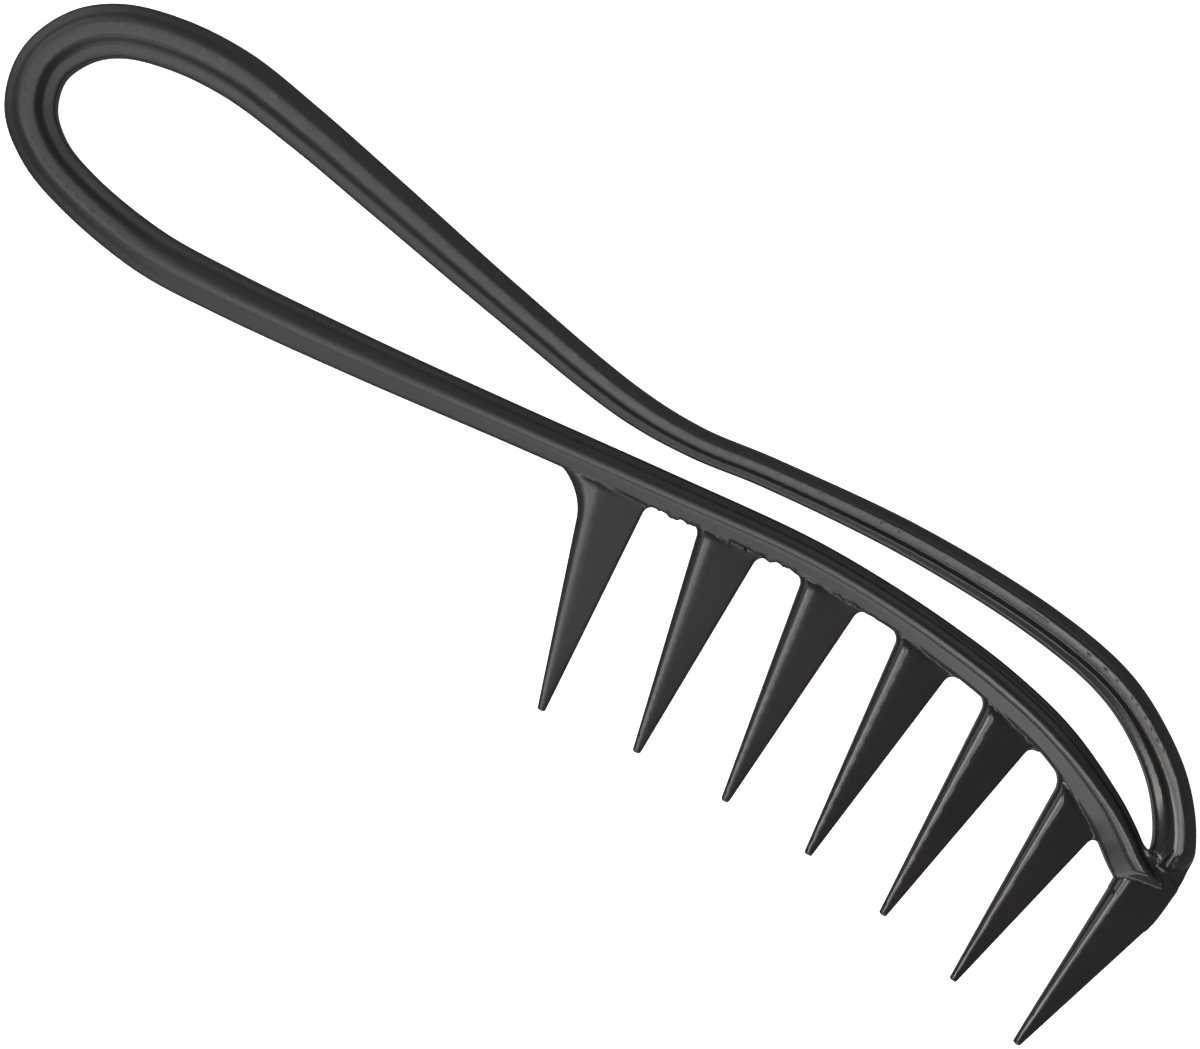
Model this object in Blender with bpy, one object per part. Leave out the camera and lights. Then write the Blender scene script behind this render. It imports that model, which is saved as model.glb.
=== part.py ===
"""Loop-handled beard comb: a slim bar bent into a long loop, with seven tapered teeth under its front half.

The comb lies flat. +X runs from the loop handle to the nose, the teeth point along -Y and +Z is up.
Z = 0 is the narrow land along the back, and the moulding mirrors about its middle height.
Metres throughout.
"""

import math

import bpy
import bmesh
from mathutils import Vector

MM = 0.001
MERGE_DISTANCE = 0.001 * MM

# Bar centreline from the nose over the back, round the loop end and home along the rail.
# Each knot is x, y and the width of the bar there.
BAR_KNOTS = [
    (95.2, 3.0, 5.6), (93.3, 8.9, 5.7), (88.4, 14.8, 5.4), (81.6, 19.3, 5.1), (74.0, 22.2, 5.1),
    (62.0, 23.4, 5.0), (41.0, 22.3, 4.7), (19.0, 18.7, 4.3), (8.5, 16.4, 4.4), (-2.0, 15.6, 4.9),
    (-24.0, 17.3, 5.4), (-45.0, 19.5, 6.1), (-60.0, 21.0, 6.5), (-71.6, 21.55, 6.9), (-80.7, 20.2, 7.05),
    (-87.9, 17.4, 7.2), (-92.0, 13.5, 7.3), (-93.95, 7.6, 7.1), (-92.0, 1.7, 7.0), (-87.1, -2.05, 6.55),
    (-80.0, -4.05, 6.45), (-67.5, -5.0, 6.6), (-56.0, -3.7, 6.4), (-35.0, -0.1, 5.9), (-13.5, 4.1, 5.4),
    (8.0, 8.3, 5.3), (29.0, 12.2, 5.1), (40.0, 13.2, 5.1), (51.0, 13.4, 5.3), (61.5, 12.9, 5.5),
    (72.0, 11.3, 5.4), (82.0, 7.7, 5.4), (86.0, 5.6, 5.5), (90.0, 3.0, 5.5),
]
STATION_STEP = 2.5 * MM
TANGENT_STEP = 0.01          # knot spacing used to find the direction of the bar

# Where one stretch of the bar hands over to the next, as the knot numbers between them.
BAR_STRETCHES = {
    "back_bow": (1, 9),
    "upper_arm": (9, 13),
    "loop_end": (13, 21),
    "lower_arm": (21, 24),
    "tooth_rail": (24, 32),
}

BAR_DEPTH = 6.4 * MM
PARTING_EDGE = 1.6 * MM      # height of the upright edge round the outline
SHOULDER_WIDTH = 0.72        # share of the bar's width at the shoulder
SHOULDER_DEPTH = 0.64        # share of the bar's depth at the shoulder
LAND_WIDTH = 0.24            # share of the bar's width on the flat land
FIT_GAP = 0.3 * MM

# Teeth under the rail from handle to nose: x of the two root corners, then the tip centre.
TEETH = [
    (-1.5, 7.8, (12.1, -25.6)),
    (15.4, 24.3, (26.0, -22.9)),
    (30.9, 39.7, (39.7, -21.4)),
    (46.2, 54.9, (53.1, -20.9)),
    (61.0, 69.7, (66.2, -21.8)),
    (75.6, 83.7, (79.1, -23.6)),
]
LAST_TOOTH = ((89.3, -1.2), (97.35, -1.2), (91.2, -25.9))
TIP_WIDTH = 1.2 * MM
TIP_DEPTH = 1.0 * MM
ROOT_DEPTH = 4.2 * MM
RIDGE_SHARE = 0.22           # ridge position from the handle side of each tooth
RIDGE_LAND = 0.5 * MM
RIDGE_LAND_LIMIT = 0.2       # most of the blade's width that half the land may take
TOOTH_EDGE_ROOT = 1.0 * MM
TOOTH_EDGE_TIP = 0.5 * MM
ROOT_FILLET = 1.3 * MM
THROAT_FILLET = 6.2 * MM     # large fillet between the handle and the first tooth
FILLET_STATIONS = 5
FILLET_CROWDING = 1.5        # draws the fillet stations together towards the root
BLADE_STATIONS = 4
EDGE_SEARCH_STEPS = 40

# Nose outline between the bow, the rail and the last tooth.
NOSE_OUTER = [(97.0, 6.0), (97.4, 3.5), (97.5, 1.1), (97.35, -1.2)]
NOSE_INNER = [(89.3, -1.2), (88.9, 0.5), (88.0, 1.6), (86.5, 2.5)]
SLOT_END = (91.1, 6.6)
NOSE_CHAMFER = 1.9 * MM
MITRE_LIMIT = 0.5            # least cosine allowed when an outline corner is moved in

PLASTIC_COLOUR = (0.036, 0.033, 0.031, 1.0)
GLOSSY_COLOUR = (0.030, 0.028, 0.027, 1.0)
HANDLE_ROUGHNESS = 0.5
TOOTH_ROUGHNESS = 0.36
SHARP_ANGLE = 28             # degrees between faces above which an edge reads as a crease


def clearScene():
    for old in list(bpy.data.objects):
        bpy.data.objects.remove(old, do_unlink=True)


def plastic(name, colour, roughness):
    material = bpy.data.materials.new(name)
    material.use_nodes = True
    shader = material.node_tree.nodes["Principled BSDF"]
    shader.inputs["Base Color"].default_value = colour
    shader.inputs["Roughness"].default_value = roughness
    shader.inputs["Metallic"].default_value = 0.0
    material.diffuse_color = colour
    return material


def finishMesh(name, bm, colour=PLASTIC_COLOUR, roughness=HANDLE_ROUGHNESS):
    bmesh.ops.remove_doubles(bm, verts=bm.verts, dist=MERGE_DISTANCE)
    bmesh.ops.triangulate(bm, faces=bm.faces[:])
    bmesh.ops.recalc_face_normals(bm, faces=bm.faces[:])
    mesh = bpy.data.meshes.new(name)
    bm.to_mesh(mesh)
    bm.free()
    piece = bpy.data.objects.new(name, mesh)
    bpy.context.collection.objects.link(piece)
    mesh.materials.append(plastic(name + "_plastic", colour, roughness))
    mesh.shade_smooth()
    mesh.set_sharp_from_angle(angle=math.radians(SHARP_ANGLE))
    return piece


def blend(a, b, share):
    return a + (b - a) * share


def knotVector(index):
    """Knot in metres, with one mirrored knot past each end of the list."""
    last = len(BAR_KNOTS) - 1
    if index < 0:
        return knotVector(0) * 2 - knotVector(1)
    if index > last:
        return knotVector(last) * 2 - knotVector(last - 1)
    return Vector(BAR_KNOTS[index]) * MM


def barPoint(position):
    """Centre and width at a fractional knot number, on a centripetal curve through the knots."""
    index = min(int(position), len(BAR_KNOTS) - 2)
    p = [knotVector(index + step) for step in (-1, 0, 1, 2)]
    t = [0.0]
    for a, b in zip(p, p[1:]):
        t.append(t[-1] + math.sqrt((b.xy - a.xy).length))
    now = blend(t[1], t[2], position - index)

    def between(a, b, ta, tb):
        return a * ((tb - now) / (tb - ta)) + b * ((now - ta) / (tb - ta))

    first = [between(p[i], p[i + 1], t[i], t[i + 1]) for i in range(3)]
    second = [between(first[i], first[i + 1], t[i], t[i + 2]) for i in range(2)]
    return between(second[0], second[1], t[1], t[2])


def barStation(position):
    """Centre, unit tangent and width of the bar at a fractional knot number."""
    here = barPoint(position)
    ahead = barPoint(min(position + TANGENT_STEP, len(BAR_KNOTS) - 1))
    behind = barPoint(max(position - TANGENT_STEP, 0.0))
    return here.xy, (ahead.xy - behind.xy).normalized(), here.z


def barSection(width):
    """Twelve points round the bar: across its width and up from the middle height."""
    across = (0.5 * width, 0.5 * SHOULDER_WIDTH * width, 0.5 * LAND_WIDTH * width)
    up = (0.5 * PARTING_EDGE, 0.5 * SHOULDER_DEPTH * BAR_DEPTH, 0.5 * BAR_DEPTH)
    upper = list(zip(across, up))
    upper += [(-x, z) for x, z in reversed(upper)]
    return upper + [(x, -z) for x, z in reversed(upper)]


def addRing(bm, centre, sideways, section):
    middle = 0.5 * BAR_DEPTH
    points = [(centre + sideways * x, middle + z) for x, z in section]
    return [bm.verts.new((point.x, point.y, z)) for point, z in points]


def skin(bm, rings):
    for low, high in zip(rings, rings[1:]):
        for i in range(len(low)):
            j = (i + 1) % len(low)
            bm.faces.new((low[i], low[j], high[j], high[i]))


def makeBarStretch(name, start, end):
    bm = bmesh.new()
    half = 0.5 * FIT_GAP
    positions = []
    for index in range(start, end):
        span = (knotVector(index + 1).xy - knotVector(index).xy).length
        steps = max(2, round(span / STATION_STEP))
        positions += [index + step / steps for step in range(steps)]
    positions.append(end)
    first_span = (knotVector(start + 1).xy - knotVector(start).xy).length
    last_span = (knotVector(end).xy - knotVector(end - 1).xy).length
    positions[0] += half / first_span
    positions[-1] -= half / last_span
    rings = []
    for position in positions:
        centre, tangent, width = barStation(position)
        sideways = Vector((tangent.y, -tangent.x))
        rings.append(addRing(bm, centre, sideways, barSection(width)))
    skin(bm, rings)
    bm.faces.new(rings[0])
    bm.faces.new(rings[-1])
    return finishMesh(name, bm)


def filletReach(radius, depth):
    """How far a concave fillet stands out from the edge, at this depth below the rail."""
    if depth >= radius:
        return 0.0
    return radius - math.sqrt(radius ** 2 - (radius - depth) ** 2)


def railEdge(x):
    """Point on the rail's lower edge at this x."""
    low, high = BAR_STRETCHES["lower_arm"][0], len(BAR_KNOTS) - 1
    for _ in range(EDGE_SEARCH_STEPS):
        position = 0.5 * (low + high)
        centre, tangent, width = barStation(position)
        edge = centre + Vector((tangent.y, -tangent.x)) * 0.5 * width
        if edge.x < x:
            low = position
        else:
            high = position
    return edge


def makeToothUnderRail(number, left_x, right_x, tip):
    """The root line is the chord of the rail's edge below the tooth and its fillets."""
    left_fillet = THROAT_FILLET if number == 1 else ROOT_FILLET
    start = railEdge(left_x * MM - left_fillet)
    chord = (railEdge(right_x * MM + ROOT_FILLET) - start).normalized()
    left = start + chord * left_fillet
    right = left + chord * (right_x - left_x) * MM
    edge_width = barPoint(BAR_STRETCHES["tooth_rail"][1]).z
    rise = 0.5 * (1 - SHOULDER_WIDTH) * edge_width
    makeTooth(number, left, right, Vector(tip) * MM, left_fillet, ROOT_FILLET, rise)


def makeTooth(number, left, right, end, left_fillet, right_fillet, shoulder_rise):
    along_root = (right - left).normalized()
    down = Vector((along_root.y, -along_root.x))
    length = (end - (left + right) * 0.5).dot(down)
    tip_left = end - along_root * 0.5 * TIP_WIDTH
    tip_right = end + along_root * 0.5 * TIP_WIDTH
    deepest = max(left_fillet, right_fillet, ROOT_FILLET)
    fillet_shares = [(step / FILLET_STATIONS) ** FILLET_CROWDING for step in range(FILLET_STATIONS)]
    depths = [blend(FIT_GAP, deepest, share) for share in fillet_shares]
    depths += [blend(deepest, length, step / BLADE_STATIONS) for step in range(BLADE_STATIONS + 1)]
    bm = bmesh.new()
    rings = []
    for step, depth in enumerate(depths):
        share = depth / length
        edge_left = blend(left, tip_left, share) - along_root * filletReach(left_fillet, depth)
        edge_right = blend(right, tip_right, share) + along_root * filletReach(right_fillet, depth)
        blade_left = blend(left, tip_left, share)
        blade_width = (blend(right, tip_right, share) - blade_left).length
        ridge = blade_left + along_root * RIDGE_SHARE * blade_width
        half_land = min(0.5 * RIDGE_LAND, RIDGE_LAND_LIMIT * blade_width)
        half_depth = 0.5 * blend(ROOT_DEPTH, TIP_DEPTH, share)
        half_edge = 0.5 * blend(TOOTH_EDGE_ROOT, TOOTH_EDGE_TIP, share)
        rise = -down * shoulder_rise if step == 0 else Vector((0, 0))
        upper = [
            (edge_left, half_edge),
            (ridge - along_root * half_land + rise, half_depth),
            (ridge + along_root * half_land + rise, half_depth),
            (edge_right, half_edge),
        ]
        ring_points = upper + [(point, -z) for point, z in reversed(upper)]
        middle = 0.5 * BAR_DEPTH
        rings.append([bm.verts.new((point.x, point.y, middle + z)) for point, z in ring_points])
    skin(bm, rings)
    top = rings[0]
    bm.faces.new(top[0:4])
    bm.faces.new((top[0], top[3], top[4], top[7]))
    bm.faces.new(top[4:8])
    bm.faces.new(rings[-1])
    return finishMesh(f"tooth_{number}", bm, GLOSSY_COLOUR, TOOTH_ROUGHNESS)


def insetOutline(points, distance):
    """Outline moved inwards by this distance along the mitre at each corner; points run clockwise."""
    inner = []
    count = len(points)
    for i in range(count):
        before = (points[i] - points[i - 1]).normalized()
        after = (points[(i + 1) % count] - points[i]).normalized()
        normal_before = Vector((before.y, -before.x))
        normal_after = Vector((after.y, -after.x))
        mitre = (normal_before + normal_after).normalized()
        inner.append(points[i] + mitre * distance / max(MITRE_LIMIT, mitre.dot(normal_before)))
    return inner


def barEnd(position, backwards):
    """The two sides of the bar at a stretch's end, stepped back by the fitting gap."""
    centre, tangent, width = barStation(position)
    centre = centre + tangent * (-0.5 * FIT_GAP if backwards else 0.5 * FIT_GAP)
    sideways = Vector((tangent.y, -tangent.x))
    return centre + sideways * 0.5 * width, centre - sideways * 0.5 * width


def makeNose():
    bow_a, bow_b = barEnd(BAR_STRETCHES["back_bow"][0], True)
    rail_a, rail_b = barEnd(BAR_STRETCHES["tooth_rail"][1], False)
    bow_outer, bow_inner = sorted((bow_a, bow_b), key=lambda point: -point.x)
    rail_upper, rail_lower = sorted((rail_a, rail_b), key=lambda point: -point.y)
    outline = [bow_outer]
    outline += [Vector(point) * MM for point in NOSE_OUTER]
    outline += [Vector(point) * MM for point in NOSE_INNER]
    outline += [rail_lower, rail_upper, Vector(SLOT_END) * MM, bow_inner]
    inner = insetOutline(outline, NOSE_CHAMFER)
    middle = 0.5 * BAR_DEPTH
    levels = [(inner, 0.5 * BAR_DEPTH), (outline, 0.5 * PARTING_EDGE), (outline, -0.5 * PARTING_EDGE),
              (inner, -0.5 * BAR_DEPTH)]
    bm = bmesh.new()
    rings = [[bm.verts.new((point.x, point.y, middle + z)) for point in points] for points, z in levels]
    skin(bm, rings)
    bm.faces.new(rings[0])
    bm.faces.new(rings[-1])
    return finishMesh("nose", bm, GLOSSY_COLOUR, TOOTH_ROUGHNESS)


clearScene()
for stretch, (start, end) in BAR_STRETCHES.items():
    makeBarStretch(stretch, start, end)
makeNose()
for number, (left_x, right_x, tip) in enumerate(TEETH, start=1):
    makeToothUnderRail(number, left_x, right_x, tip)
last_left, last_right, last_tip = [Vector(point) * MM for point in LAST_TOOTH]
makeTooth(len(TEETH) + 1, last_left, last_right, last_tip, 0.0, 0.0, 0.0)
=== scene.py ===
import math

import bpy
from mathutils import Matrix, Vector


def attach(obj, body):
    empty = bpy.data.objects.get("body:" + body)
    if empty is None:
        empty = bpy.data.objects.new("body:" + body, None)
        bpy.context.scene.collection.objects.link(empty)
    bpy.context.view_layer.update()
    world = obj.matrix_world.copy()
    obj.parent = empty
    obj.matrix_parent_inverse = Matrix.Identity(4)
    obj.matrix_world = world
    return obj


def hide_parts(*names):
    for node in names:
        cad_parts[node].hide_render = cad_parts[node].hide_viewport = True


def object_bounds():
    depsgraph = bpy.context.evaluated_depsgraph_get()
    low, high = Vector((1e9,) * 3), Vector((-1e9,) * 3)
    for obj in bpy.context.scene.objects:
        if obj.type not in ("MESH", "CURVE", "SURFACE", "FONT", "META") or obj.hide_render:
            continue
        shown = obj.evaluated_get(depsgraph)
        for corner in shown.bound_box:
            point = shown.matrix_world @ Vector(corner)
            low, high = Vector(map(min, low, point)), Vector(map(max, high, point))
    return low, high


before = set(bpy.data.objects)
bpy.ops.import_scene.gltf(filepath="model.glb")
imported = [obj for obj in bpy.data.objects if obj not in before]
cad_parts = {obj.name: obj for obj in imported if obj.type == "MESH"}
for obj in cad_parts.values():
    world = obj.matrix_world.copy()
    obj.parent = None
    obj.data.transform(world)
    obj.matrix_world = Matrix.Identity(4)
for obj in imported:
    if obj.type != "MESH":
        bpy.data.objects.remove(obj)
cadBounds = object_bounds()
print("frame loaded")

mm = 0.001


class Term:  # a node socket with which sums, products and powers can be written
    def __init__(self, tree, socket):
        self.tree = tree
        self.socket = socket

    def __add__(self, other):
        return mathNode(self.tree, "ADD", self, other)

    def __sub__(self, other):
        return mathNode(self.tree, "SUBTRACT", self, other)

    def __rsub__(self, other):
        return mathNode(self.tree, "SUBTRACT", other, self)

    def __mul__(self, other):
        return mathNode(self.tree, "MULTIPLY", self, other)

    def __truediv__(self, other):
        return mathNode(self.tree, "DIVIDE", self, other)

    def __pow__(self, other):
        return mathNode(self.tree, "POWER", self, other)

    __radd__ = __add__
    __rmul__ = __mul__


def feed(tree, slot, value):
    if isinstance(value, Term):
        tree.links.new(value.socket, slot)
    else:
        slot.default_value = value


def mathNode(tree, operation, *values):
    node = tree.nodes.new("ShaderNodeMath")
    node.operation = operation
    for slot, value in zip(node.inputs, values):
        feed(tree, slot, value)
    return Term(tree, node.outputs[0])


def vectorNode(tree, operation, *values, scalar=False):
    node = tree.nodes.new("ShaderNodeVectorMath")
    node.operation = operation
    for slot, value in zip(node.inputs, values):
        feed(tree, slot, value)
    return Term(tree, node.outputs["Value" if scalar else "Vector"])


def scaled(tree, vector, amount):
    node = tree.nodes.new("ShaderNodeVectorMath")
    node.operation = "SCALE"
    feed(tree, node.inputs[0], vector)
    feed(tree, node.inputs["Scale"], amount)
    return Term(tree, node.outputs["Vector"])


def dot(tree, a, b):
    return vectorNode(tree, "DOT_PRODUCT", a, b, scalar=True)


def limited(tree, value, low=0.0, high=1.0):
    return mathNode(tree, "MINIMUM", mathNode(tree, "MAXIMUM", value, low), high)


def parts(tree, vector):
    node = tree.nodes.new("ShaderNodeSeparateXYZ")
    feed(tree, node.inputs[0], vector)
    return [Term(tree, out) for out in node.outputs]


def joined(tree, x, y, z):
    node = tree.nodes.new("ShaderNodeCombineXYZ")
    for slot, value in zip(node.inputs, (x, y, z)):
        feed(tree, slot, value)
    return Term(tree, node.outputs[0])


def newTree(name, inputs, outKind, outLabel):  # an input gives its socket kind, or a number's default
    tree = bpy.data.node_groups.new(name, "GeometryNodeTree")
    tree.interface.new_socket(outLabel, in_out="OUTPUT", socket_type="NodeSocket" + outKind)
    for label, value in inputs.items():
        kind = value if isinstance(value, str) else "Int" if isinstance(value, int) else "Float"
        socket = tree.interface.new_socket(label, in_out="INPUT", socket_type="NodeSocket" + kind)
        if kind != value:
            socket.default_value = value
    source = tree.nodes.new("NodeGroupInput")
    sink = tree.nodes.new("NodeGroupOutput")
    named = {socket.name: Term(tree, socket) for socket in source.outputs if socket.name}
    return tree, named, sink


def useGroup(tree, group, values):
    node = tree.nodes.new("GeometryNodeGroup")
    node.node_tree = group
    for label, value in values.items():
        feed(tree, node.inputs[label], value)
    return Term(tree, node.outputs[0])


# sizes of the bent bar in millimetres; each knot is x, y and bar width
barSizes = {
    "knots": [
        (95.2, 3.0, 5.6), (93.3, 8.9, 5.7), (88.4, 14.8, 5.4), (81.6, 19.3, 5.1), (74.0, 22.2, 5.1),
        (62.0, 23.4, 4.98), (41.0, 22.3, 4.7), (19.0, 18.7, 4.3), (8.5, 16.4, 4.4), (-2.0, 15.6, 4.9),
        (-24.0, 17.3, 5.4), (-45.0, 19.5, 6.1), (-60.0, 21.0, 6.5), (-71.6, 21.55, 6.9), (-80.7, 20.2, 7.05),
        (-87.9, 17.4, 7.2), (-92.0, 13.5, 7.3), (-93.95, 7.6, 7.1), (-92.0, 1.7, 7.0), (-87.1, -2.05, 6.55),
        (-80.0, -4.05, 6.45), (-67.5, -5.0, 6.6), (-56.0, -3.7, 6.4), (-35.0, -0.1, 5.9), (-13.5, 4.1, 5.4),
        (8.0, 8.3, 5.3), (29.0, 12.2, 5.1), (40.0, 13.2, 5.1), (51.0, 13.4, 5.3), (61.5, 12.9, 5.5),
        (72.0, 11.3, 5.4), (82.0, 7.7, 5.4), (86.0, 5.6, 5.5), (89.4, 3.5, 5.5), (92.8, 1.9, 5.5)],
    "pointsPerSpan": 24,
    "backStart": 22,       # the back's path leaves out this many points at the nose
    "halves": 17,          # the knot in the loop end where back and rail paths meet
    "noseKnots": [(94.1, 7.2, 5.5), (94.4, 4.6, 6.0), (94.6, 1.8, 5.6)],
    "noseDepth": 2.6,
    "depth": 6.4,
    "rimHeight": 3.2,      # upright edge round the outline
    "rimRound": 0.55,
    "backLand": 0.27,      # share of the half width that lies level along the ridge
    "railLand": 0.2,
    "landRound": 0.5,      # how softly the land turns down into the two faces
    "faceEase": 0.8,       # height above a sloping face, brought nearer to a true distance
    "noseRimHeight": 0.9,
    "noseLand": 0.05,
    "noseShift": 0.7,      # the nose slopes down from the slot to its outer side
    "ledge": 0.6,          # share of the drop that one soft step makes, on the back's and loop end's slot side
    "ledgeEnd": (88.0, 94.0),  # x at which the step starts to fade and is gone
    "stepFrom": 0.3,
    "stepWidth": 0.32,
    "groovePlace": 0.58,
    "grooveSpread": 0.17,
    "outerGroove": 0.2,    # a hollow on the outer side, only round the loop end
    "railGroove": 0.16,    # a faint hollow along the rail's slot side
    "railGroovePlace": 0.66,
    "railGrooveSpread": 0.12,
    "widest": 97.42,       # no part of the nose passes this
    "noseBlend": 1.8,      # bow and last tooth run softly into the nose
    "jointBlend": (-70.0, -50.0),  # x from which the back and the rail may run into each other
    "railCut": ((90.3, 1.4), (93.9, 2.9)),  # line along which the rail breaks off above the last tooth
    "railCutHeight": 1.9,
    "railCutLean": (0.8, 0.6),  # how much the cut faces sideways and how much up
    "loopCentre": (-80.0, 8.3),
    "slotAbove": 20.0,     # from the rail the slot is looked for this much higher than the loop's centre
    "noseTurn": 86.0,      # from this x on the slot is looked for to the left, by this pull
    "nosePull": 2.0,
    "sideTurn": 3.0,       # how sharply the slot side turns over round the end of a path
    "railFrom": (-85.0, -60.0),  # x over which the loop end's section turns into the rail's
    "loopFrom": (-60.0, -78.0),  # x over which the rail's section turns into the loop end's
    "noseFrom": (72.0, 88.0),  # x over which the ridges move to their places at the nose
    "crestShift": 0.13,    # the ridge lies this share of the half width away from the slot
    "bowShift": 0.22,      # the same for the back at the nose
    "railShift": 0.32,     # the rail's ridge crosses over to the slot side just before the nose
}

# ragged flash left along the rail's lower edge by the first teeth
flashSizes = {
    "from": 5.0, "to": 44.0, "fade": 5.0, "height": 2.4, "level": 0.43,
    "grain": 0.8, "detail": 3.0, "seed": 3.0,
    "rise": 2.5}  # how soon it comes up past the middle of the rail's outer side

# teeth: left root, right root, tip centre, left and right root fillet
toothSizes = {
    "teeth": [
        ((-1.45, 4.35), (7.85, 5.7), (12.12, -25.75), 6.2, 1.3),
        ((15.42, 7.3), (24.3, 8.7), (26.05, -23.0), 1.3, 1.3),
        ((30.95, 9.8), (39.75, 10.6), (39.75, -21.55), 1.3, 1.3),
        ((46.27, 10.8), (54.95, 10.5), (53.2, -21.0), 1.3, 1.3),
        ((61.17, 10.2), (69.7, 8.7), (66.25, -21.9), 1.3, 1.3),
        ((75.68, 7.2), (83.75, 3.6), (79.22, -23.7), 1.3, 1.3),
        ((89.5, -1.0), (96.9, -3.2), (91.28, -25.86), 0.1, 0.1)],
    "tipWidth": 1.1,
    "ridgeShare": 0.21,
    "rootHalfDepth": 2.15,
    "edgeHalfHeight": 0.5,
    "embed": 2.4,
    "ridgeRound": 0.26,
    "leftRoll": 0.62,      # share of the height that the narrow left side rolls through
    "rollPower": 3.0,
    "edgeRound": 0.4,
    "faceEase": 0.85,
    "tuck": 0.45,          # how far the ridge dips where it goes in under the rail
    "tuckReach": 1.4,
    "noseEmbed": 7.2,      # the last tooth's broad face runs on up to the valley at the nose
    "rootBlend": 0.3,
    "noseRootBlend": 2.0,  # times the root blend
}

# how finely the surface is made, in millimetres
mouldSizes = {
    "voxel": 0.38, "margin": 1.5, "depthShown": 2.0,
    "projections": 3, "probe": 0.04, "leastSlope": 0.05, "pathStep": 0.4, "stripHalf": 0.001}


def barDistanceTree():
    tree, given, sink = newTree("barDistance", {
        "Point": "Vector", "Ribbon": "Geometry", "Half depth": 3.2, "Rim height": 2.6, "Rim round": 0.55,
        "Land": 0.2, "Land round": 0.55, "Crest shift": 0.0, "Slot groove": 0.0, "Outer groove": 0.0,
        "Ledge": 0.0, "Slot above": 0.0, "Groove place": 0.5, "Groove spread": 0.2, "Flash": 0.0},
        "Float", "Distance")
    x, y, z = parts(tree, given["Point"])
    flat = joined(tree, x, y, 0.0)

    def sample(kind, value):
        node = tree.nodes.new("GeometryNodeSampleNearestSurface")
        node.data_type = kind
        feed(tree, node.inputs["Mesh"], given["Ribbon"])
        feed(tree, node.inputs["Value"], value)
        feed(tree, node.inputs["Sample Position"], flat)
        return Term(tree, node.outputs["Value"])

    place = tree.nodes.new("GeometryNodeInputPosition")
    width = tree.nodes.new("GeometryNodeInputNamedAttribute")
    width.data_type = "FLOAT"
    width.inputs["Name"].default_value = "halfWidth"
    nearest = sample("FLOAT_VECTOR", Term(tree, place.outputs[0]))
    halfWidth = sample("FLOAT", Term(tree, width.outputs[0]))
    nearX, nearY, _ = parts(tree, nearest)
    foot = joined(tree, nearX, nearY, 0.0)
    away = vectorNode(tree, "DISTANCE", flat, foot, scalar=True)
    towards = vectorNode(tree, "SUBTRACT", flat, foot)
    centreX, centreY = barSizes["loopCentre"]
    pastLoopEnd = mathNode(tree, "MAXIMUM", centreX - nearX, 0.0)
    pastNoseEnd = mathNode(tree, "MAXIMUM", nearX - barSizes["noseTurn"], 0.0)
    toSlot = joined(
        tree, pastLoopEnd - barSizes["nosePull"] * pastNoseEnd,
        centreY - nearY + given["Slot above"] * barSizes["slotAbove"], 0.0)
    facing = dot(tree, vectorNode(tree, "NORMALIZE", towards), vectorNode(tree, "NORMALIZE", toSlot))
    which = limited(tree, facing * barSizes["sideTurn"], -1.0, 1.0)  # 1 on the slot side, -1 opposite
    shift = given["Crest shift"]
    offset = which * away / halfWidth - shift
    across = mathNode(tree, "ABSOLUTE", offset) / (1.0 - shift * mathNode(tree, "SIGN", offset))
    rim = given["Rim height"] * 0.5
    slotSide = mathNode(tree, "GREATER_THAN", offset, 0.0)
    share = given["Ledge"] * slotSide
    stepped = limited(tree, (across - barSizes["stepFrom"]) / barSizes["stepWidth"])
    softStep = stepped * stepped * (3.0 - 2.0 * stepped)
    drop = (across - given["Land"]) / (1.0 - given["Land"]) * (1.0 - share) + share * softStep
    faces = given["Half depth"] - (given["Half depth"] - rim) * drop
    height = mathNode(tree, "SMOOTH_MIN", faces, given["Half depth"], given["Land round"])
    flank = (across - given["Groove place"]) / given["Groove spread"]
    groove = given["Outer groove"] + (given["Slot groove"] - given["Outer groove"]) * slotSide
    height = height - groove * mathNode(tree, "EXPONENT", 0.0 - flank * flank)
    face = (mathNode(tree, "ABSOLUTE", z) - height) * barSizes["faceEase"]
    outer = limited(tree, (nearY - y) / halfWidth * flashSizes["rise"] - 1.0)
    side = away - halfWidth - given["Flash"] * outer
    feed(tree, sink.inputs[0], mathNode(tree, "SMOOTH_MAX", face, side, given["Rim round"]))
    return tree


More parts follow.
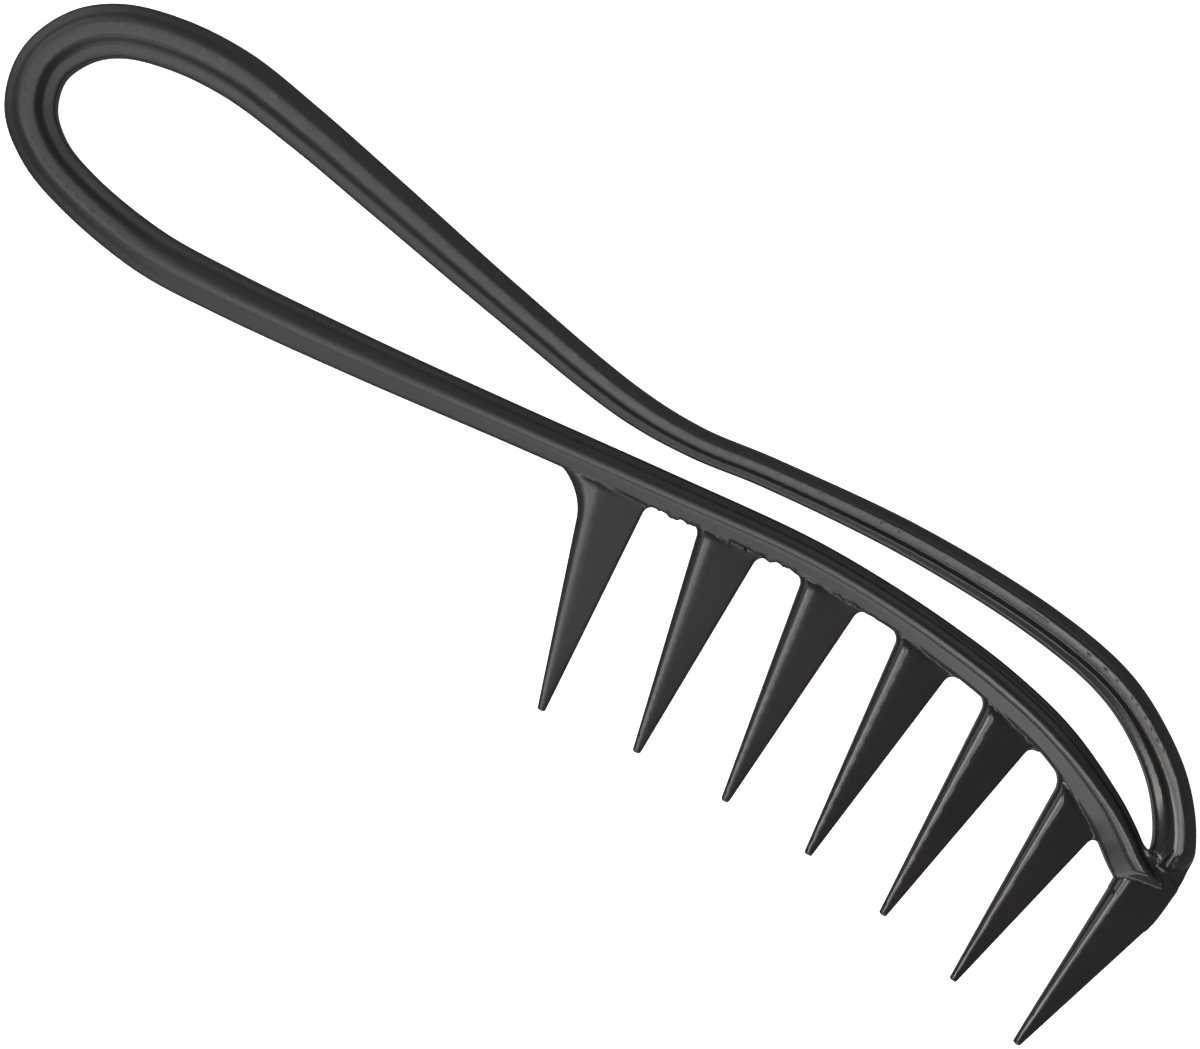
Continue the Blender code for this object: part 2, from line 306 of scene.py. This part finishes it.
def toothDistanceTree():
    tree, given, sink = newTree("toothDistance", {
        "Point": "Vector", "Left root": "Vector", "Right root": "Vector", "Tip": "Vector",
        "Left fillet": 1.3, "Right fillet": 1.3, "Tip width": 1.1, "Ridge share": 0.21,
        "Root half depth": 2.15, "Edge half height": 0.5, "Embed": 2.4, "Ridge round": 0.26,
        "Left roll": 0.62, "Edge round": 0.4, "Tuck": 0.45, "Tuck reach": 1.4}, "Float", "Distance")
    x, y, z = parts(tree, given["Point"])
    point = joined(tree, x, y, 0.0)
    left, right, tip = given["Left root"], given["Right root"], given["Tip"]
    rootLine = vectorNode(tree, "NORMALIZE", vectorNode(tree, "SUBTRACT", right, left))
    halfTip = scaled(tree, rootLine, given["Tip width"] * 0.5)

    def turned(vector, sign):
        a, b, _ = parts(tree, vector)
        return joined(tree, b * sign, a * -sign, 0.0)

    down = turned(rootLine, 1.0)
    below = dot(tree, vectorNode(tree, "SUBTRACT", point, left), down)

    def inside(corner, tipCorner, sign, radius):
        edge = vectorNode(tree, "NORMALIZE", vectorNode(tree, "SUBTRACT", tipCorner, corner))
        straight = dot(tree, vectorNode(tree, "SUBTRACT", point, corner), turned(edge, sign))
        reach = limited(tree, radius - below, 0.0, radius)
        square = mathNode(tree, "MAXIMUM", radius * radius - reach * reach, 0.0)
        flare = radius - mathNode(tree, "SQRT", square)
        return straight + flare

    fromLeft = inside(left, vectorNode(tree, "SUBTRACT", tip, halfTip), -1.0, given["Left fillet"])
    fromRight = inside(right, vectorNode(tree, "ADD", tip, halfTip), 1.0, given["Right fillet"])
    rootWidth = vectorNode(tree, "DISTANCE", left, right, scalar=True)
    toRidge = scaled(tree, vectorNode(tree, "SUBTRACT", right, left), given["Ridge share"])
    ridgeRoot = vectorNode(tree, "ADD", left, toRidge)
    ridgeLine = vectorNode(tree, "NORMALIZE", vectorNode(tree, "SUBTRACT", tip, ridgeRoot))
    fromRidge = dot(tree, vectorNode(tree, "SUBTRACT", point, ridgeRoot), turned(ridgeLine, -1.0))

    def climb(inward, outward):  # 0 at the edge, 1 at the ridge line
        inward = mathNode(tree, "MAXIMUM", inward, 0.001)
        return inward / (inward + mathNode(tree, "MAXIMUM", outward, 0.0))

    middle = scaled(tree, vectorNode(tree, "ADD", left, right), 0.5)
    length = vectorNode(tree, "DISTANCE", tip, middle, scalar=True)
    tipShare = given["Tip width"] / rootWidth
    taper = limited(tree, 1.0 - below / length) * (1.0 - tipShare) + tipShare
    rise = (given["Root half depth"] - given["Edge half height"]) * taper
    rise = rise - given["Tuck"] * (1.0 - limited(tree, below / given["Tuck reach"])) ** 2.0
    leftFall = (1.0 - climb(fromLeft, 0.0 - fromRidge)) ** toothSizes["rollPower"] * given["Left roll"]
    rightClimb = climb(fromRight, fromRidge)
    height = mathNode(tree, "SMOOTH_MIN", rise * (1.0 - leftFall), rise * rightClimb, given["Ridge round"])
    face = (mathNode(tree, "ABSOLUTE", z) - given["Edge half height"] - height) * toothSizes["faceEase"]
    sides = mathNode(tree, "MAXIMUM", 0.0 - fromLeft, 0.0 - fromRight)
    body = mathNode(tree, "SMOOTH_MAX", face, sides, given["Edge round"])
    axis = vectorNode(tree, "NORMALIZE", vectorNode(tree, "SUBTRACT", tip, middle))
    pastTip = dot(tree, vectorNode(tree, "SUBTRACT", point, tip), axis)
    body = mathNode(tree, "SMOOTH_MAX", body, pastTip, given["Edge round"])
    body = mathNode(tree, "SMOOTH_MAX", body, 0.0 - (below + given["Embed"]), given["Edge round"])
    feed(tree, sink.inputs[0], body)
    return tree


def mouldingDistanceTree(barTree, toothTree):
    tree, given, sink = newTree("mouldingDistance", {
        "Point": "Vector", "Back ribbon": "Geometry", "Rail ribbon": "Geometry", "Nose ribbon": "Geometry",
        "Half depth": 3.2, "Nose half depth": 1.3, "Nose blend": 1.8, "Root blend": 0.3}, "Float", "Distance")
    x, y, z = parts(tree, given["Point"])
    barValues = {
        "Point": given["Point"], "Half depth": given["Half depth"], "Rim height": barSizes["rimHeight"],
        "Rim round": barSizes["rimRound"], "Land round": barSizes["landRound"]}
    lumps = tree.nodes.new("ShaderNodeTexNoise")
    feed(tree, lumps.inputs["Vector"], joined(tree, x, y, flashSizes["seed"]))
    lumps.inputs["Scale"].default_value = flashSizes["grain"]
    lumps.inputs["Detail"].default_value = flashSizes["detail"]
    entry = limited(tree, (x - flashSizes["from"]) / flashSizes["fade"])
    leave = limited(tree, (flashSizes["to"] - x) / flashSizes["fade"])
    ragged = mathNode(tree, "MAXIMUM", Term(tree, lumps.outputs[0]) - flashSizes["level"], 0.0)
    flash = ragged * entry * leave * flashSizes["height"]

    def along(label):  # 0 before the first x, 1 past the second
        start, end = barSizes[label]
        return limited(tree, (x - start) / (end - start))

    def changed(share, start, end):  # from one size to another
        return barSizes[start] + share * (barSizes[end] - barSizes[start])

    onRail, onLoop, nearNose = along("railFrom"), along("loopFrom"), along("noseFrom")
    loopGroove = onLoop * barSizes["outerGroove"]
    back = useGroup(tree, barTree, {
        **barValues, "Ribbon": given["Back ribbon"], "Land": barSizes["backLand"],
        "Ledge": (1.0 - along("ledgeEnd")) * barSizes["ledge"],
        "Groove place": barSizes["groovePlace"], "Groove spread": barSizes["grooveSpread"],
        "Outer groove": loopGroove,
        "Crest shift": nearNose * (barSizes["crestShift"] - barSizes["bowShift"]) - barSizes["crestShift"]})
    rail = useGroup(tree, barTree, {
        **barValues, "Ribbon": given["Rail ribbon"], "Flash": flash, "Slot above": onRail,
        "Land": changed(onRail, "backLand", "railLand"), "Ledge": onLoop * barSizes["ledge"],
        "Groove place": changed(onRail, "groovePlace", "railGroovePlace"),
        "Groove spread": changed(onRail, "grooveSpread", "railGrooveSpread"),
        "Outer groove": loopGroove, "Slot groove": onRail * barSizes["railGroove"],
        "Crest shift": nearNose * (barSizes["railShift"] + barSizes["crestShift"]) - barSizes["crestShift"]})
    cutStart, cutEnd = [Vector(point) for point in barSizes["railCut"]]
    cutLine = (cutEnd - cutStart).normalized()
    pastCut = (x - cutStart.x) * cutLine.y - (y - cutStart.y) * cutLine.x
    sideways, upwards = barSizes["railCutLean"]
    pastCut = pastCut * sideways + (mathNode(tree, "ABSOLUTE", z) - barSizes["railCutHeight"]) * upwards
    rail = mathNode(tree, "SMOOTH_MAX", rail, pastCut, given["Root blend"])
    nose = useGroup(tree, barTree, {
        **barValues, "Ribbon": given["Nose ribbon"], "Half depth": given["Nose half depth"],
        "Rim height": barSizes["noseRimHeight"], "Land": barSizes["noseLand"],
        "Crest shift": barSizes["noseShift"]})

    def tooth(sizes, embed, tuck):
        leftRoot, rightRoot, tip, leftFillet, rightFillet = sizes
        return useGroup(tree, toothTree, {
            "Point": given["Point"], "Left root": (*leftRoot, 0.0), "Right root": (*rightRoot, 0.0),
            "Tip": (*tip, 0.0), "Left fillet": leftFillet, "Right fillet": rightFillet,
            "Tip width": toothSizes["tipWidth"], "Ridge share": toothSizes["ridgeShare"],
            "Root half depth": toothSizes["rootHalfDepth"], "Edge half height": toothSizes["edgeHalfHeight"],
            "Embed": embed, "Ridge round": toothSizes["ridgeRound"], "Left roll": toothSizes["leftRoll"],
            "Edge round": toothSizes["edgeRound"], "Tuck": tuck, "Tuck reach": toothSizes["tuckReach"]})

    teeth = None
    for sizes in toothSizes["teeth"][:-1]:
        another = tooth(sizes, toothSizes["embed"], toothSizes["tuck"])
        teeth = another if teeth is None else mathNode(tree, "MINIMUM", teeth, another)
    railWithTeeth = mathNode(tree, "SMOOTH_MIN", rail, teeth, given["Root blend"])
    lastTooth = tooth(toothSizes["teeth"][-1], toothSizes["noseEmbed"], 0.0)
    front = mathNode(tree, "SMOOTH_MIN", nose, lastTooth, given["Root blend"] * toothSizes["noseRootBlend"])
    bow = mathNode(tree, "SMOOTH_MIN", back, front, given["Nose blend"])
    bow = mathNode(tree, "SMOOTH_MAX", bow, x - barSizes["widest"], barSizes["rimRound"])
    whole = mathNode(tree, "SMOOTH_MIN", bow, railWithTeeth, given["Root blend"] * along("jointBlend"))
    feed(tree, sink.inputs[0], whole)
    return tree


def combTree(distanceTree, lowest, highest):
    tree, given, sink = newTree("combMoulding", {
        "Geometry": "Geometry", "Rail path": "Object", "Nose path": "Object", "Plastic": "Material",
        "Half depth": 3.2, "Nose half depth": 1.3, "Nose blend": 1.8, "Root blend": 0.3,
        "Cells along": 400, "Cells across": 120, "Cells up": 16}, "Geometry", "Geometry")

    def ribbon(curve):  # a hair-thin strip along the path that carries the half width
        radius = tree.nodes.new("GeometryNodeInputRadius")
        resample = tree.nodes.new("GeometryNodeResampleCurve")
        resample.mode = "LENGTH"
        feed(tree, resample.inputs["Curve"], curve)
        resample.inputs["Length"].default_value = mouldSizes["pathStep"]
        store = tree.nodes.new("GeometryNodeStoreNamedAttribute")
        store.data_type = "FLOAT"
        store.inputs["Name"].default_value = "halfWidth"
        tree.links.new(resample.outputs[0], store.inputs["Geometry"])
        tree.links.new(radius.outputs[0], store.inputs["Value"])
        even = tree.nodes.new("GeometryNodeSetCurveRadius")
        tree.links.new(store.outputs[0], even.inputs["Curve"])
        even.inputs["Radius"].default_value = 1.0
        line = tree.nodes.new("GeometryNodeCurvePrimitiveLine")
        line.inputs["Start"].default_value = (-mouldSizes["stripHalf"], 0.0, 0.0)
        line.inputs["End"].default_value = (mouldSizes["stripHalf"], 0.0, 0.0)
        sweep = tree.nodes.new("GeometryNodeCurveToMesh")
        tree.links.new(even.outputs[0], sweep.inputs["Curve"])
        tree.links.new(line.outputs[0], sweep.inputs["Profile Curve"])
        return Term(tree, sweep.outputs[0])

    def pathOf(label):
        node = tree.nodes.new("GeometryNodeObjectInfo")
        feed(tree, node.inputs["Object"], given[label])
        return Term(tree, node.outputs["Geometry"])

    backRibbon = ribbon(given["Geometry"])
    railRibbon = ribbon(pathOf("Rail path"))
    noseRibbon = ribbon(pathOf("Nose path"))

    def distanceAt(point):
        sizes = {label: given[label] for label in ("Half depth", "Nose half depth", "Nose blend", "Root blend")}
        return useGroup(tree, distanceTree, {
            "Point": point, "Back ribbon": backRibbon, "Rail ribbon": railRibbon, "Nose ribbon": noseRibbon,
            **sizes})

    place = Term(tree, tree.nodes.new("GeometryNodeInputPosition").outputs[0])
    cube = tree.nodes.new("GeometryNodeVolumeCube")
    depthShown = mouldSizes["depthShown"]  # the density is above this inside the moulding
    feed(tree, cube.inputs["Density"], mathNode(tree, "MAXIMUM", depthShown - distanceAt(place), 0.0))
    cube.inputs["Background"].default_value = 0.0
    cube.inputs["Min"].default_value = lowest
    cube.inputs["Max"].default_value = highest
    for label, axis in (("Cells along", "X"), ("Cells across", "Y"), ("Cells up", "Z")):
        feed(tree, cube.inputs["Resolution " + axis], given[label])
    skin = tree.nodes.new("GeometryNodeVolumeToMesh")
    skin.resolution_mode = "GRID"
    tree.links.new(cube.outputs[0], skin.inputs["Volume"])
    skin.inputs["Threshold"].default_value = depthShown
    current = Term(tree, skin.outputs[0])
    probe = mouldSizes["probe"]

    def slopeAt(point):
        sides = []
        for axis in ((probe, 0.0, 0.0), (0.0, probe, 0.0), (0.0, 0.0, probe)):
            ahead = distanceAt(vectorNode(tree, "ADD", point, axis))
            behind = distanceAt(vectorNode(tree, "SUBTRACT", point, axis))
            sides.append((ahead - behind) / (2.0 * probe))
        return joined(tree, *sides)

    for _ in range(mouldSizes["projections"]):  # slide each point onto the exact surface
        here = distanceAt(place)
        slope = slopeAt(place)
        steep = mathNode(tree, "MAXIMUM", dot(tree, slope, slope), mouldSizes["leastSlope"])
        step = scaled(tree, slope, 0.0 - here / steep)
        move = tree.nodes.new("GeometryNodeSetPosition")
        feed(tree, move.inputs["Geometry"], current)
        feed(tree, move.inputs["Offset"], step)
        current = Term(tree, move.outputs[0])
    smooth = tree.nodes.new("GeometryNodeSetShadeSmooth")
    feed(tree, smooth.inputs[0], current)
    lean = tree.nodes.new("GeometryNodeSetMeshNormal")  # shading follows the exact slope of the surface
    lean.mode = "FREE"
    lean.domain = "POINT"
    tree.links.new(smooth.outputs[0], lean.inputs["Mesh"])
    feed(tree, lean.inputs["Custom Normal"], vectorNode(tree, "NORMALIZE", slopeAt(place)))
    metres = tree.nodes.new("GeometryNodeTransform")
    tree.links.new(lean.outputs[0], metres.inputs["Geometry"])
    metres.inputs["Scale"].default_value = (mm, mm, mm)
    metres.inputs["Translation"].default_value = (0.0, 0.0, barSizes["depth"] * 0.5 * mm)
    realize = tree.nodes.new("GeometryNodeRealizeInstances")
    tree.links.new(metres.outputs[0], realize.inputs[0])
    paint = tree.nodes.new("GeometryNodeSetMaterial")
    tree.links.new(realize.outputs[0], paint.inputs["Geometry"])
    feed(tree, paint.inputs["Material"], given["Plastic"])
    tree.links.new(paint.outputs[0], sink.inputs[0])
    return tree


def smoothPath(knots):  # centripetal curve through the knots, with the width as its third value
    perSpan = barSizes["pointsPerSpan"]
    spots = [Vector(knot) for knot in knots]
    spots = [spots[0] * 2 - spots[1]] + spots + [spots[-1] * 2 - spots[-2]]
    path = []
    for i in range(1, len(spots) - 2):
        p = spots[i - 1:i + 3]
        t = [0.0]
        for a, b in zip(p, p[1:]):
            t.append(t[-1] + math.sqrt((b.xy - a.xy).length))

        def between(a, b, ta, tb, now):
            return a * ((tb - now) / (tb - ta)) + b * ((now - ta) / (tb - ta))

        for step in range(perSpan):
            now = t[1] + (t[2] - t[1]) * step / perSpan
            first = [between(p[j], p[j + 1], t[j], t[j + 1], now) for j in range(3)]
            second = [between(first[j], first[j + 1], t[j], t[j + 2], now) for j in range(2)]
            path.append(between(second[0], second[1], t[1], t[2], now))
    path.append(spots[-2])
    return path


def makePath(name, places):
    curve = bpy.data.curves.new(name, "CURVE")
    curve.dimensions = "3D"
    spline = curve.splines.new("POLY")
    spline.points.add(len(places) - 1)
    for point, place in zip(spline.points, places):
        point.co = (place.x, place.y, 0.0, 1.0)
        point.radius = place.z * 0.5
    path = bpy.data.objects.new(name, curve)
    bpy.context.collection.objects.link(path)
    return path


def setInput(modifier, tree, label, value):
    for item in tree.interface.items_tree:
        if item.item_type == "SOCKET" and item.in_out == "INPUT" and item.name == label:
            modifier[item.identifier] = value
            return
    raise KeyError(label)


# satin moulded plastic: sizes in millimetres
plasticSizes = {
    "tint": (0.0074, 0.0070, 0.0066, 1.0),
    "warmTint": (0.0125, 0.0098, 0.0084, 1.0),
    "tintPatch": 26.0,
    "tintContrast": 3.0,
    "handleRoughness": 0.5,
    "noseRoughness": 0.22,
    "roughnessLimits": (0.12, 0.7),
    "glossFrom": -30.0,     # the surface turns glossier from here towards the nose
    "glossTo": 70.0,
    "grain": 0.34,
    "grainHeight": 0.014,
    "grainTint": 0.5,
    "noseGrain": 0.1,       # share of the grain left at the nose
    "ripple": 5.0,
    "rippleHeight": 0.03,
    "scuffs": 0.06,
    "scuffPatch": 0.9,
    "scuffStretch": (0.5, 1.0, 1.0),
    "patchGloss": 0.04,
    "edgeHighlight": 0.5,
    "highlightFrom": 0.52,       # how sharp an edge is before its colour is painted lighter, a painted edge highlight
    "highlightRise": 8.0,
}


def makePlastic():
    material = bpy.data.materials.new("satinBlackPlastic")
    material.use_nodes = True
    tree = material.node_tree
    shader = tree.nodes["Principled BSDF"]
    place = Term(tree, tree.nodes.new("ShaderNodeTexCoord").outputs["Object"])
    x, _, _ = parts(tree, place)

    def noise(size, detail=2.0, stretch=(1.0, 1.0, 1.0)):
        node = tree.nodes.new("ShaderNodeTexNoise")
        feed(tree, node.inputs["Vector"], vectorNode(tree, "MULTIPLY", place, stretch))
        node.inputs["Scale"].default_value = 1.0 / (size * mm)
        node.inputs["Detail"].default_value = detail
        return Term(tree, node.outputs[0])

    start, end = plasticSizes["glossFrom"] * mm, plasticSizes["glossTo"] * mm
    towardsNose = limited(tree, (x - start) / (end - start))
    grain = noise(plasticSizes["grain"])
    patches = limited(tree, noise(plasticSizes["tintPatch"], detail=3.0) * plasticSizes["tintContrast"] - 1.0)
    tint = tree.nodes.new("ShaderNodeMix")
    tint.data_type = "RGBA"
    colours = [slot for slot in tint.inputs if slot.type == "RGBA"]
    colours[0].default_value = plasticSizes["tint"]
    colours[1].default_value = plasticSizes["warmTint"]
    feed(tree, tint.inputs[0], patches)
    sharp = Term(tree, tree.nodes.new("ShaderNodeNewGeometry").outputs["Pointiness"])
    # sharp edges get a lighter base colour: a painted edge highlight, not wear
    paintedHighlight = limited(tree, (sharp - plasticSizes["highlightFrom"]) * plasticSizes["highlightRise"])
    paintedHighlight = paintedHighlight * plasticSizes["edgeHighlight"]
    shade = 1.0 + paintedHighlight + (grain - 0.5) * plasticSizes["grainTint"] * (1.0 - towardsNose)
    mixed = [slot for slot in tint.outputs if slot.type == "RGBA"][0]
    feed(tree, shader.inputs["Base Color"], scaled(tree, Term(tree, mixed), shade))
    scuffs = noise(plasticSizes["scuffPatch"], detail=3.0, stretch=plasticSizes["scuffStretch"])
    satin = plasticSizes["handleRoughness"] + towardsNose * (
        plasticSizes["noseRoughness"] - plasticSizes["handleRoughness"])
    satin = satin + (scuffs - 0.5) * plasticSizes["scuffs"] + (patches - 0.5) * plasticSizes["patchGloss"]
    feed(tree, shader.inputs["Roughness"], limited(tree, satin, *plasticSizes["roughnessLimits"]))
    fade = 1.0 - towardsNose * (1.0 - plasticSizes["noseGrain"])
    height = grain * fade * (plasticSizes["grainHeight"] * mm)
    height = height + noise(plasticSizes["ripple"], detail=1.0) * (plasticSizes["rippleHeight"] * mm)
    bump = tree.nodes.new("ShaderNodeBump")
    bump.inputs["Strength"].default_value = 1.0
    bump.inputs["Distance"].default_value = 1.0
    feed(tree, bump.inputs["Height"], height)
    tree.links.new(bump.outputs[0], shader.inputs["Normal"])
    return material


def makeComb(plastic):
    bar = smoothPath(barSizes["knots"])
    split = barSizes["halves"] * barSizes["pointsPerSpan"]
    backPath = makePath("backPath", bar[barSizes["backStart"]:split + 1])
    railPath = makePath("railPath", bar[split:])
    nosePath = makePath("nosePath", smoothPath(barSizes["noseKnots"]))
    low, high = [Vector(corner) / mm for corner in cadBounds]
    margin, halfDepth = mouldSizes["margin"], barSizes["depth"] * 0.5
    lowest = (low.x - margin, low.y - margin, -halfDepth - margin)
    highest = (high.x + margin, high.y + margin, halfDepth + margin)
    tree = combTree(mouldingDistanceTree(barDistanceTree(), toothDistanceTree()), lowest, highest)
    modifier = backPath.modifiers.new("moulding", "NODES")
    modifier.node_group = tree
    cells = [round((b - a) / mouldSizes["voxel"]) for a, b in zip(lowest, highest)]
    for label, value in (
            ("Rail path", railPath), ("Nose path", nosePath), ("Plastic", plastic),
            ("Half depth", halfDepth), ("Nose half depth", barSizes["noseDepth"] * 0.5),
            ("Nose blend", barSizes["noseBlend"]), ("Root blend", toothSizes["rootBlend"]),
            ("Cells along", cells[0]), ("Cells across", cells[1]), ("Cells up", cells[2])):
        setInput(modifier, tree, label, value)
    graph = bpy.context.evaluated_depsgraph_get()
    mesh = bpy.data.meshes.new_from_object(backPath.evaluated_get(graph), depsgraph=graph)
    comb = bpy.data.objects.new("combMoulding", mesh)
    bpy.context.collection.objects.link(comb)
    for path in (backPath, railPath, nosePath):
        bpy.data.objects.remove(path, do_unlink=True)
    print("moulding made:", len(mesh.vertices), "points", len(mesh.polygons), "faces")
    return comb


plastic = makePlastic()
comb = makeComb(plastic)
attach(comb, "root")
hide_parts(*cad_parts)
print("comb placed")

# the camera looks straight down: turn in degrees, aim and distance in millimetres
stageSizes = {
    "turn": 35.0, "aim": (3.24, -2.64), "distance": 458.2, "lens": 100.0, "sensor": 36.0, "farClip": 20.0,
    "floorHalf": 3.0, "floorShade": 0.8, "floorRoughness": 0.9, "floorGlow": 0.95, "skyGlow": 0.24}

# tilt from overhead, turn from the view's right, away and size in metres
softboxes = {  # size: across the direction of the turn, then along it
    "topSoftbox": {"tilt": 15.0, "turn": 195.0, "away": 1.2, "size": (0.6, 0.5), "glow": 7.5},
    "noseSoftbox": {"tilt": 11.0, "turn": 352.0, "away": 1.2, "size": (0.5, 0.2), "glow": 7.0},
    "lowerSoftbox": {"tilt": 65.0, "turn": 254.0, "away": 1.0, "size": (1.1, 0.75), "glow": 2.5},
    "upperSoftbox": {"tilt": 64.0, "turn": 130.0, "away": 1.0, "size": (0.9, 0.7), "glow": 2.2},
    "rightSoftbox": {"tilt": 74.0, "turn": 55.0, "away": 1.0, "size": (0.9, 0.5), "glow": 0.4},
}


def makeStage():
    mesh = bpy.data.meshes.new("floor")
    half = stageSizes["floorHalf"]
    corners = [(-half, -half, 0), (half, -half, 0), (half, half, 0), (-half, half, 0)]
    mesh.from_pydata(corners, [], [(0, 1, 2, 3)])
    floor = bpy.data.objects.new("floor", mesh)
    bpy.context.collection.objects.link(floor)
    white = bpy.data.materials.new("paleFloor")
    white.use_nodes = True
    shader = white.node_tree.nodes["Principled BSDF"]
    shade = stageSizes["floorShade"]
    shader.inputs["Base Color"].default_value = (shade, shade, shade, 1.0)
    shader.inputs["Roughness"].default_value = stageSizes["floorRoughness"]
    shader.inputs["Emission Color"].default_value = (1.0, 1.0, 1.0, 1.0)
    shader.inputs["Emission Strength"].default_value = stageSizes["floorGlow"]
    mesh.materials.append(white)
    floor.visible_glossy = False  # the comb mirrors the soft surroundings, not the lit floor
    floor.visible_diffuse = False


def viewAxes():
    turn = math.radians(stageSizes["turn"])
    right = Vector((math.cos(turn), math.sin(turn), 0.0))
    up = Vector((-math.sin(turn), math.cos(turn), 0.0))
    return right, up, Vector((0.0, 0.0, 1.0))


def makeSoftbox(name, box):
    right, up, overhead = viewAxes()
    tilt, turn = math.radians(box["tilt"]), math.radians(box["turn"])
    level = right * math.cos(turn) + up * math.sin(turn)
    towards = overhead * math.cos(tilt) + level * math.sin(tilt)
    across = overhead.cross(level)
    data = bpy.data.lights.new(name, "AREA")
    data.shape = "RECTANGLE"
    data.size, data.size_y = box["size"]
    data.energy = box["glow"] * math.pi * data.size * data.size_y
    light = bpy.data.objects.new(name, data)
    light.matrix_world = Matrix.Translation(towards * box["away"]) @ Matrix(
        (across, towards.cross(across), towards)).transposed().to_4x4()
    bpy.context.collection.objects.link(light)


def makeCamera():
    right, up, back = viewAxes()
    data = bpy.data.cameras.new("camera")
    data.lens = stageSizes["lens"]
    data.sensor_width = stageSizes["sensor"]
    data.clip_end = stageSizes["farClip"]
    camera = bpy.data.objects.new("camera", data)
    acrossAim, upAim = stageSizes["aim"]
    place = (right * acrossAim + up * upAim + back * stageSizes["distance"]) * mm
    camera.matrix_world = Matrix((
        (right.x, up.x, back.x, place.x), (right.y, up.y, back.y, place.y),
        (right.z, up.z, back.z, place.z), (0, 0, 0, 1)))
    bpy.context.collection.objects.link(camera)
    bpy.context.scene.camera = camera


makeStage()
for name, box in softboxes.items():
    makeSoftbox(name, box)
world = bpy.data.worlds.new("studio")
world.use_nodes = True
world.node_tree.nodes["Background"].inputs[0].default_value = (1.0, 1.0, 1.0, 1.0)
world.node_tree.nodes["Background"].inputs[1].default_value = stageSizes["skyGlow"]
bpy.context.scene.world = world
makeCamera()
bpy.context.scene.view_settings.view_transform = "Standard"
print("stage set")
